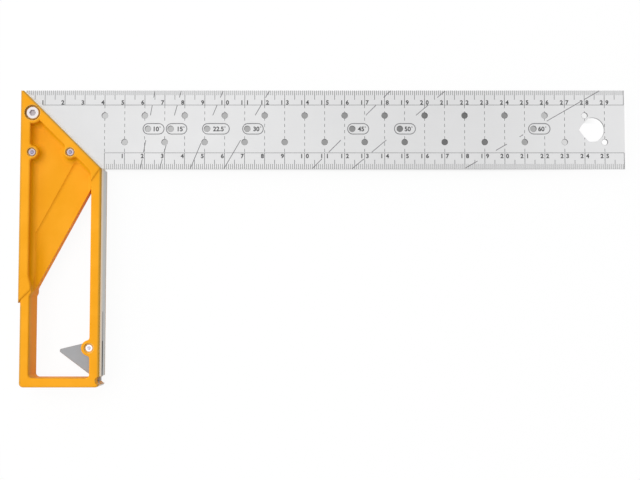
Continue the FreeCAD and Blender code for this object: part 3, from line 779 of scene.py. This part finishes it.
class BladeMarks:
    """Marks gathered for one piece that lies on the face of the blade."""

    def __init__(self, settings):
        self.settings = settings
        self.corners = []
        self.faces = []

    def block(self, outline):
        """A thin closed block over an outline of (x, d) places."""
        count = len(outline)
        first = len(self.corners)
        for height in (-self.settings.relief, self.settings.relief):
            for x, d in outline:
                self.corners.append((ZERO_X + x, OUTER_EDGE_Y - d, BLADE_FACE_Z + height))
        self.faces.append([first + index for index in range(count)])
        self.faces.append([first + count + index for index in reversed(range(count))])
        for index in range(count):
            after = (index + 1) % count
            self.faces.append(
                [first + after, first + index, first + count + index, first + count + after]
            )

    def line(self, start, end, width):
        """A straight line of the given width, cut only where the steel is clear."""
        for begin, stop in clear_runs(start, end, width / 2 + self.settings.clear_gap):
            along = (stop - begin).normalized()
            side = Vector((along.y, -along.x)) * (width / 2)
            self.block([begin + side, stop + side, stop - side, begin - side])

    def ring(self, left, right, width):
        """A ring with round ends about the row of angle holes."""
        half = self.settings.ring_height / 2
        outlines = []
        for reach in (half + width / 2, half - width / 2):
            outline = []
            for centre, turn in ((right - half, -0.5), (left + half, 0.5)):
                for step in range(RING_STEPS + 1):
                    angle = math.pi * (turn + step / RING_STEPS)
                    x = centre + reach * math.cos(angle)
                    outline.append((x, ANGLE_HOLE_DEPTH + reach * math.sin(angle)))
            outlines.append(outline)
        outside, inside = outlines
        count = len(outside)
        for index in range(count):
            after = (index + 1) % count
            self.block([outside[index], outside[after], inside[after], inside[index]])

    def glyphs(self, text, x, base, height, weight):
        """Numbers with their left end at x and their foot at depth base."""
        corners, faces = lettering(text, height, weight)
        first = len(self.corners)
        for right, up, side in corners:
            raised = BLADE_FACE_Z + side * self.settings.relief
            self.corners.append((ZERO_X + x + right, OUTER_EDGE_Y - base + up, raised))
        self.faces.extend([[first + index for index in face] for face in faces])

    def piece(self, name, material):
        """Makes the piece, which rides with the blade."""
        mesh = bpy.data.meshes.new(name)
        mesh.from_pydata(self.corners, [], self.faces)
        shell = bmesh.new()
        shell.from_mesh(mesh)
        bmesh.ops.remove_doubles(shell, verts=shell.verts, dist=1e-7)
        bmesh.ops.recalc_face_normals(shell, faces=shell.faces)
        shell.to_mesh(mesh)
        shell.free()
        mesh.materials.append(material)
        piece = bpy.data.objects.new(name, mesh)
        bpy.context.scene.collection.objects.link(piece)
        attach(piece, "root")


def bare_steel(x, d):
    """Whether the face of the blade shows here, neither drilled away nor under the stock."""
    above = Vector((ZERO_X + x, OUTER_EDGE_Y - d, BLADE_FACE_Z + FEELER_HEIGHT))
    down = Vector((0.0, 0.0, -1.0))
    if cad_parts["stock"].ray_cast(above, down)[0]:
        return False
    hit, place, normal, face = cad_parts["blade"].ray_cast(above, down)
    return hit and place.z > BLADE_FACE_Z - HOLE_DEPTH


def clear_runs(start, end, reach):
    """The parts of a line on which the steel is bare to both sides."""
    start = Vector(start)
    end = Vector(end)
    length = (end - start).length
    along = (end - start).normalized()
    side = Vector((along.y, -along.x)) * reach
    steps = max(2, round(length / FEELER_STEP))
    deepest = BLADE_WIDTH - EDGE_MARGIN
    runs = []
    begin = None
    for step in range(steps + 1):
        here = start + along * (length * step / steps)
        feelers = (here + side * FEELER_SHARE, here - side * FEELER_SHARE)
        clear = all(bare_steel(spot.x, min(max(spot.y, EDGE_MARGIN), deepest)) for spot in feelers)
        if clear and begin is None:
            begin = here
        if begin is not None and (not clear or step == steps):
            stop = here if clear else here - along * (length / steps)
            if (stop - begin).length > SHORTEST_LINE:
                runs.append((begin, stop))
            begin = None
    return runs


LETTERING = {}


def lettering(text, height, weight):
    """Corners and faces of plain numbers: x to the right, y up, and z of -1 below or 1 above."""
    key = (text, height, weight)
    if key in LETTERING:
        return LETTERING[key]
    curve = bpy.data.curves.new("number", "FONT")
    curve.body = text
    curve.size = 1.0
    curve.extrude = 0.01
    curve.offset = weight
    curve.resolution_u = 4
    writer = bpy.data.objects.new("number", curve)
    bpy.context.scene.collection.objects.link(writer)
    bpy.context.view_layer.update()
    written = writer.evaluated_get(bpy.context.evaluated_depsgraph_get())
    drawn = bpy.data.meshes.new_from_object(written)
    shell = bmesh.new()
    shell.from_mesh(drawn)
    bmesh.ops.remove_doubles(shell, verts=shell.verts, dist=1e-5)
    left = min(corner.co.x for corner in shell.verts)
    scale = height / (CAPITAL_HEIGHT + 2 * weight)
    corners = []
    for corner in shell.verts:
        x, y, z = corner.co
        corners.append(((x - left) * scale, (y + weight) * scale, math.copysign(1.0, z)))
    faces = [[corner.index for corner in face.verts] for face in shell.faces]
    shell.free()
    bpy.data.meshes.remove(drawn)
    bpy.data.objects.remove(writer)
    bpy.data.curves.remove(curve)
    LETTERING[key] = (corners, faces)
    return LETTERING[key]


def number_width(text, height, weight):
    """Width of a written number."""
    return max(corner[0] for corner in lettering(text, height, weight)[0])


def write_number(marks, number, x, foot):
    """A centimetre number: one figure left of the line, or two figures on either side of it."""
    height = marks.settings.number_height
    figures = str(number)
    for figure, offset in zip(figures, ONE_FIGURE if len(figures) == 1 else TWO_FIGURES):
        width = number_width(figure, height, NUMBER_WEIGHT)
        marks.glyphs(figure, x + offset - width / 2, foot, height, NUMBER_WEIGHT)


def write_angle(marks, text, x):
    """The number of an angle at the depth of its hole, with a small raised degree sign after it."""
    height = marks.settings.label_height
    foot = ANGLE_HOLE_DEPTH + height / 2
    marks.glyphs(text, x, foot, height, LABEL_WEIGHT)
    degree_x = x + number_width(text, height, LABEL_WEIGHT) + DEGREE_GAP
    degree_height = DEGREE_SHARE * height
    marks.glyphs("°", degree_x, foot - height + degree_height, degree_height, DEGREE_WEIGHT)


def scale_ticks(settings, last_number, extra=0.0):
    """Place, length and width of each tick between the centimetre lines of a scale."""
    for millimetre in range(1, 10 * last_number + 10):
        if millimetre % 10 == 0:
            continue
        if millimetre % 5 == 0:
            yield millimetre * MM, settings.half_length, settings.line_width
        else:
            yield millimetre * MM, settings.tick_length + extra, settings.tick_width


def dark_ink():
    """The finish of the scales and numbers, made once."""
    made = bpy.data.materials.get("dark_etching")
    return made or ink_finish("dark_etching", bpy.context.scene.square_scales.ink)


def light_ink():
    """The finish of the angle lines and rings, made once."""
    made = bpy.data.materials.get("light_etching")
    return made or ink_finish("light_etching", bpy.context.scene.square_scales.pale_ink)


def seen_directly(finish):
    """1 for what the camera, a reflection or a clear surface sees, and 0 for light on things."""
    rays = ("Is Camera Ray", "Is Glossy Ray", "Is Transmission Ray")
    return finish.largest(*(finish.node("LightPath", output=ray) for ray in rays))


def floor_finish(settings):
    """A pale floor that looks white in the open, with a painted shadow under the blade that shows
    dark through its holes.
    """
    material, finish = new_finish("pale_floor")
    seen = seen_directly(finish)
    place = finish.place()
    x = finish.part(place, "X")
    along = x - ZERO_X
    off_middle = abs(finish.part(place, "Y") - BLADE_MIDDLE_Y)
    in_open = finish.largest(
        finish.ramp(off_middle, *FADE_FROM_MIDDLE),
        finish.ramp(along, *FADE_AT_STOCK),
        finish.ramp(x - BLADE_HIGH[0], *FADE_PAST_END),
    )
    # Painted shadow under the blade: less white glow, darkest at one place along it, with painted
    # light through the hanging hole.
    left = finish.largest(DARKEST_X - along, 0.0)
    right = finish.largest(along - DARKEST_X, 0.0)
    rising = DARKEST_SHARE + RISE_TO_LEFT * left + RISE_TO_RIGHT * right * right
    hanging = finish.ramp(along, *HANGING_HOLE_ALONG) * finish.ramp(off_middle, *HANGING_HOLE_ASIDE)
    under = finish.largest(finish.maths("MINIMUM", rising, 1.0), hanging)
    share = under + (settings.floor_glow - under) * in_open
    # Painted shadow: the floor's lit colour under the blade is dark.
    shown = finish.mix(in_open, rgba(settings.floor_below), rgba(settings.floor))
    lit_colour = finish.mix(seen, rgba(settings.floor_bounce), shown)
    lit = finish.node("BsdfDiffuse", inputs={"Color": lit_colour})
    white = finish.node("Emission", inputs={"Color": WHITE, "Strength": 1.0})
    finish.surface(finish.node("MixShader", inputs={0: seen * share, 1: lit, 2: white}))
    return material


def lay_floor(settings):
    """A round floor that the square lies on."""
    shell = bmesh.new()
    bmesh.ops.create_circle(
        shell, cap_ends=True, segments=FLOOR_SIDES, radius=settings.floor_radius
    )
    mesh = bpy.data.meshes.new("floor")
    shell.to_mesh(mesh)
    shell.free()
    mesh.materials.append(floor_finish(settings))
    floor = bpy.data.objects.new("floor", mesh)
    floor.location.z = CAD_BOX[0][2]
    bpy.context.scene.collection.objects.link(floor)


def light_room(settings):
    """Soft light from all round, with a darker strip overhead that only reflections see."""
    world = bpy.data.worlds.new("studio")
    bpy.context.scene.world = world
    world.use_nodes = True
    finish = Finish(world.node_tree)
    seen = finish.node("LightPath", output="Is Camera Ray")
    mirrored = finish.node("LightPath", output="Is Glossy Ray")
    way = finish.node("TexCoord", output="Generated")
    side = finish.part(way, "X")
    depth = finish.part(way, "Y")
    bright = finish.ramp(SKY_FROM_BACK * depth - SKY_FROM_LEFT * side, *SKY_RANGE)
    lit = SKY_GAIN * settings.sky * (settings.sky_low + (1.0 - settings.sky_low) * bright)
    strip = finish.ramp(abs(side - STRIP_MIDDLE), *STRIP_REACH)
    dark_left = LEFT_DARK * finish.ramp(side, *LEFT_RANGE)
    reflected = MIRRORED_LEVEL - settings.overhead_dark * strip - dark_left - MIRRORED_FALL * side
    front = FRONT_SHARE + (1.0 - FRONT_SHARE) * finish.ramp(depth, *FRONT_RANGE)
    strength = lit * (1.0 - mirrored) + reflected * front * mirrored
    strength = strength * (1.0 - seen) + seen
    sky = finish.node("Background", inputs={"Color": WHITE, "Strength": strength})
    finish.node("OutputWorld", inputs={"Surface": sky})


def hang_key_light(settings):
    """A soft round lamp overhead, which reflections don't see."""
    lamp = bpy.data.lights.new("key_light", "AREA")
    lamp.shape = "DISK"
    lamp.size = settings.key_size
    lamp.energy = settings.key_power
    key = bpy.data.objects.new("key_light", lamp)
    key.location = KEY_PLACE
    key.rotation_euler = (-key.location).to_track_quat("-Z", "Y").to_euler()
    key.visible_glossy = False
    bpy.context.scene.collection.objects.link(key)


def stand_camera():
    """The camera at the photograph's viewing angle."""
    lens = bpy.data.cameras.new("camera")
    lens.lens = CAMERA_LENS
    lens.sensor_width = SENSOR_WIDTH
    lens.clip_start = CAMERA_NEAR
    camera = bpy.data.objects.new("camera", lens)
    camera.location = CAMERA_PLACE
    camera.rotation_euler = (CAMERA_TILT, 0.0, 0.0)
    bpy.context.scene.collection.objects.link(camera)
    bpy.context.scene.camera = camera
    bpy.context.scene.view_settings.view_transform = "Standard"


class SQUARE_OT_stage(bpy.types.Operator):
    """Lay the floor and set the light and the camera"""

    bl_idname = "square.stage"
    bl_label = "Set the stage"

    def execute(self, context):
        settings = context.scene.square_stage
        lay_floor(settings)
        light_room(settings)
        hang_key_light(settings)
        stand_camera()
        return {"FINISHED"}


class SQUARE_OT_stock(bpy.types.Operator):
    """Paint the casting and leave its milled faces bare"""

    bl_idname = "square.stock"
    bl_label = "Finish the stock"

    def execute(self, context):
        finish_node("stock", stock_finish(context.scene.square_stock))
        return {"FINISHED"}


class SQUARE_OT_blade(bpy.types.Operator):
    """Give the blade its satin steel"""

    bl_idname = "square.blade"
    bl_label = "Finish the blade"

    def execute(self, context):
        finish_node("blade", steel_finish(context.scene.square_blade))
        return {"FINISHED"}


class SQUARE_OT_outer_scale(bpy.types.Operator):
    """Etch the scale along the outer edge, which counts from the tip of the stock"""

    bl_idname = "square.outer_scale"
    bl_label = "Etch the outer scale"

    def execute(self, context):
        settings = context.scene.square_scales
        ticks = BladeMarks(settings)
        for x, length, width in scale_ticks(settings, LAST_OUTER_NUMBER):
            ticks.line((x, 0.0), (x, length), width)
        base = settings.outer_base
        end = 10 * (LAST_OUTER_NUMBER + 1) * MM - END_LINE_GAP
        ticks.line((base + OUTER_BASE_START, base), (end, base), settings.base_width)
        ticks.line((end, 0.0), (end, base), settings.line_width)
        ticks.piece("outer_scale_ticks", dark_ink())
        numbers = BladeMarks(settings)
        for number in range(1, LAST_OUTER_NUMBER + 1):
            write_number(numbers, number, 10 * number * MM, base - OUTER_NUMBER_RISE)
        numbers.piece("outer_scale_numbers", dark_ink())
        return {"FINISHED"}


class SQUARE_OT_inner_scale(bpy.types.Operator):
    """Etch the scale along the inner edge, which counts from the fence"""

    bl_idname = "square.inner_scale"
    bl_label = "Etch the inner scale"

    def execute(self, context):
        settings = context.scene.square_scales
        ticks = BladeMarks(settings)
        for along, length, width in scale_ticks(settings, LAST_INNER_NUMBER, INNER_TICK_EXTRA):
            x = INNER_ZERO + along
            ticks.line((x, BLADE_WIDTH - length), (x, BLADE_WIDTH), width)
        base = settings.inner_base
        end = INNER_ZERO + 10 * (LAST_INNER_NUMBER + 1) * MM - END_LINE_GAP
        ticks.line((INNER_ZERO, base), (end, base), settings.base_width)
        ticks.line((end, base), (end, BLADE_WIDTH), settings.line_width)
        ticks.piece("inner_scale_ticks", dark_ink())
        numbers = BladeMarks(settings)
        foot = base + INNER_NUMBER_DROP + settings.number_height
        for number in range(1, LAST_INNER_NUMBER + 1):
            write_number(numbers, number, INNER_ZERO + 10 * number * MM, foot)
        numbers.piece("inner_scale_numbers", dark_ink())
        return {"FINISHED"}


class SQUARE_OT_centimetre_lines(bpy.types.Operator):
    """Etch the centimetre lines, whole over the scales and dashed across the middle"""

    bl_idname = "square.centimetre_lines"
    bl_label = "Etch the centimetre lines"

    def execute(self, context):
        settings = context.scene.square_scales
        marks = BladeMarks(settings)
        gap = settings.clear_gap
        labels = ANGLE_LABELS.values()
        rings = [(left - gap, right + gap) for text, hole, left, right, start in labels]
        ring_top = ANGLE_HOLE_DEPTH - settings.ring_height / 2 - gap
        ring_foot = ANGLE_HOLE_DEPTH + settings.ring_height / 2 + gap
        for centimetre in range(1, LAST_OUTER_NUMBER + 1):
            x = 10 * centimetre * MM
            marks.line((x, 0.0), (x, settings.outer_base), settings.line_width)
            if x < INNER_ZERO - UNDER_FENCE:
                continue
            marks.line((x, settings.inner_base), (x, BLADE_WIDTH), settings.line_width)
            ringed = any(left < x < right for left, right in rings)
            top = settings.outer_base
            while top < settings.inner_base:
                foot = min(top + settings.dash, settings.inner_base)
                if not (ringed and foot > ring_top and top < ring_foot):
                    marks.line((x, top), (x, foot), settings.line_width)
                top += settings.dash_pitch
        marks.piece("centimetre_lines", dark_ink())
        return {"FINISHED"}


class SQUARE_OT_angle_marks(bpy.types.Operator):
    """Etch the angle lines, the rings round the angle holes and the angle numbers"""

    bl_idname = "square.angle_marks"
    bl_label = "Etch the angle marks"

    def execute(self, context):
        settings = context.scene.square_scales
        lines = BladeMarks(settings)
        rings = BladeMarks(settings)
        numbers = BladeMarks(settings)
        for degrees, (text, hole, left, right, number_x) in ANGLE_LABELS.items():
            slope = math.tan(math.radians(degrees))
            for top, foot in RUNS_BY_ANGLE.get(degrees, ANGLE_RUNS):
                start = (hole + (ANGLE_HOLE_DEPTH - top * MM) * slope, top * MM)
                end = (hole + (ANGLE_HOLE_DEPTH - foot * MM) * slope, foot * MM)
                lines.line(start, end, settings.angle_width)
            rings.ring(left, right, settings.ring_width)
            write_angle(numbers, text, number_x)
        lines.piece("angle_lines", light_ink())
        rings.piece("angle_rings", light_ink())
        numbers.piece("angle_numbers", dark_ink())
        return {"FINISHED"}


class SQUARE_OT_fasteners(bpy.types.Operator):
    """Plate the clamp screw, its nut and the rivets"""

    bl_idname = "square.fasteners"
    bl_label = "Finish the fasteners"

    def execute(self, context):
        settings = context.scene.square_fittings
        roughness = settings.plating_roughness
        # Each head's plating, with its painted shade below the top.
        for node, colour, shaded_colour in (
            ("clamp_screw", settings.clamp, settings.clamp_sunk),
            ("clamp_nut", settings.clamp, settings.clamp_sunk),
            ("blade_rivets", settings.rivet, settings.rivet_sunk),
            ("ledge_pivot_rivet", settings.pivot, settings.pivot_sunk),
        ):
            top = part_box(node)[1][2]
            name = node + "_plating"
            finish_node(node, plating_finish(name, colour, shaded_colour, roughness, top))
        return {"FINISHED"}


class SQUARE_OT_ledge(bpy.types.Operator):
    """Finish the folding ledge and its spring washers"""

    bl_idname = "square.ledge"
    bl_label = "Finish the ledge"

    def execute(self, context):
        settings = context.scene.square_fittings
        zinc = sheet_finish(
            "zinc_plated_sheet", settings.ledge, settings.ledge_roughness, LEDGE_CLOUD, LEDGE_EDGE
        )
        finish_node("ledge", zinc)
        spring = sheet_finish(
            "spring_steel", settings.washer, settings.washer_roughness, WASHER_CLOUD, WASHER_EDGE
        )
        finish_node("ledge_spring_washers", spring)
        return {"FINISHED"}


class SQUARE_PT_panel(bpy.types.Panel):
    """Steps and values of the square"""

    bl_idname = "SQUARE_PT_panel"
    bl_label = "Try and mitre square"
    bl_space_type = "VIEW_3D"
    bl_region_type = "UI"
    bl_category = "Square"

    def draw(self, context):
        layout = self.layout
        for operator in OPERATORS:
            layout.operator(operator.bl_idname)
        for name in SETTINGS:
            group = getattr(context.scene, name)
            box = layout.box()
            box.label(text=type(group).__doc__)
            for value in type(group).__annotations__:
                box.prop(group, value)


SETTINGS = {
    "square_stock": StockSettings,
    "square_blade": BladeSettings,
    "square_scales": ScaleSettings,
    "square_fittings": FittingSettings,
    "square_stage": StageSettings,
}
OPERATORS = (
    SQUARE_OT_stage,
    SQUARE_OT_stock,
    SQUARE_OT_blade,
    SQUARE_OT_outer_scale,
    SQUARE_OT_inner_scale,
    SQUARE_OT_centimetre_lines,
    SQUARE_OT_angle_marks,
    SQUARE_OT_fasteners,
    SQUARE_OT_ledge,
)


def register():
    """Adds the classes, and the settings to the scene."""
    for group in (*SETTINGS.values(), *OPERATORS, SQUARE_PT_panel):
        bpy.utils.register_class(group)
    for name, group in SETTINGS.items():
        setattr(bpy.types.Scene, name, PointerProperty(type=group))


def unregister():
    """Takes the settings and the classes away again."""
    for name in SETTINGS:
        delattr(bpy.types.Scene, name)
    for group in reversed((*SETTINGS.values(), *OPERATORS, SQUARE_PT_panel)):
        bpy.utils.unregister_class(group)


def main():
    """Registers the add-on and makes the square."""
    register()
    bpy.ops.square.stage()
    bpy.ops.square.stock()
    bpy.ops.square.blade()
    bpy.ops.square.outer_scale()
    bpy.ops.square.inner_scale()
    bpy.ops.square.centimetre_lines()
    bpy.ops.square.angle_marks()
    bpy.ops.square.fasteners()
    bpy.ops.square.ledge()


if __name__ == "__main__":
    main()
